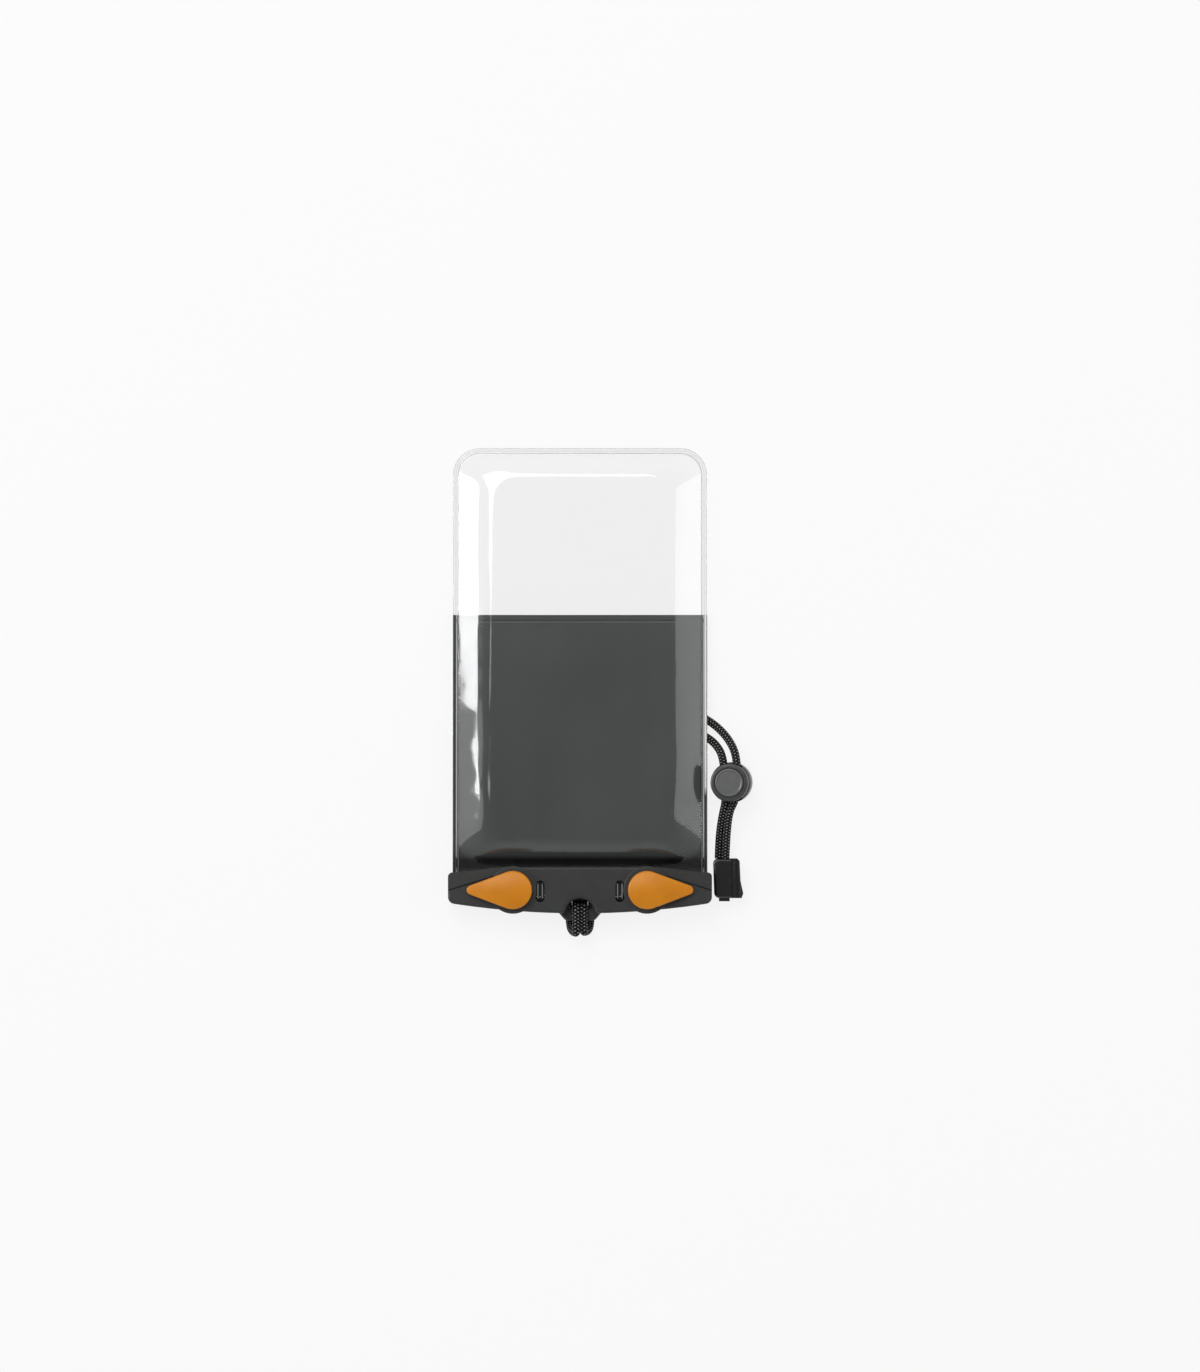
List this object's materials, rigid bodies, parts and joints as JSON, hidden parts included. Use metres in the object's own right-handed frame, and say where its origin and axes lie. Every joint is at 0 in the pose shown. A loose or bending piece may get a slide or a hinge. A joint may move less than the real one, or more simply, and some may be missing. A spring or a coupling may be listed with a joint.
{
  "type": "waterproof phone case",
  "caption": "Welded clear pouch closed by a two-jaw clip with turning cam levers, with a sprung cord lock on its neck lanyard.",
  "frame": {"origin": "on the surface that the case lies on, under the middle of the case without its lanyard", "axes": "+Z out of the front of the case, +Y from the clip to the closed end of the pouch, +X along the clip"},
  "size_m": [0.131, 0.2098, 0.0204],
  "materials": {
    "clip_plastic": "fine moulded texture, matte charcoal",
    "lever_plastic": "satin amber",
    "clear_film": "clear glossy film",
    "dark_film": "dark grey glossy film",
    "lock_plastic": "satin dark grey",
    "spring_steel": "plain spring wire",
    "gloss_plastic": "glossy black",
    "cord_braid": "black braid with light flecks"
  },
  "bodies": {
    "case": {"clip_front_jaw": "clip_plastic", "clip_back_jaw": "clip_plastic", "pouch_front_film": "clear_film", "pouch_window_film": "clear_film", "pouch_back_panel": "dark_film", "toggle_barrel": "lock_plastic", "toggle_spring": "spring_steel", "cord_end_left_half": "gloss_plastic", "cord_end_right_half": "gloss_plastic", "lanyard_outer_strand": "cord_braid", "lanyard_inner_strand": "cord_braid"},
    "left_lever": {"lever_left": "lever_plastic"},
    "right_lever": {"lever_right": "lever_plastic"},
    "toggle_button": {"toggle_plunger": "lock_plastic"}
  },
  "joints": [
    {"name": "lever_left_turn", "type": "hinge", "parent": "case", "child": "left_lever", "pos_m": [-0.0288, -0.0883, 0.0162], "axis": [0, 0, 1], "range_deg": [0, 90]},
    {"name": "lever_right_turn", "type": "hinge", "parent": "case", "child": "right_lever", "pos_m": [0.0288, -0.0883, 0.0162], "axis": [0, 0, 1], "range_deg": [-90, 0]},
    {"name": "toggle_press", "type": "slide", "parent": "case", "child": "toggle_button", "axis": [0.1392, 0, -0.9903], "range_m": [0, 0.0016], "stiffness_N_per_m": 900, "springref_m": -0.002, "deforming": ["toggle_spring"]}
  ]
}
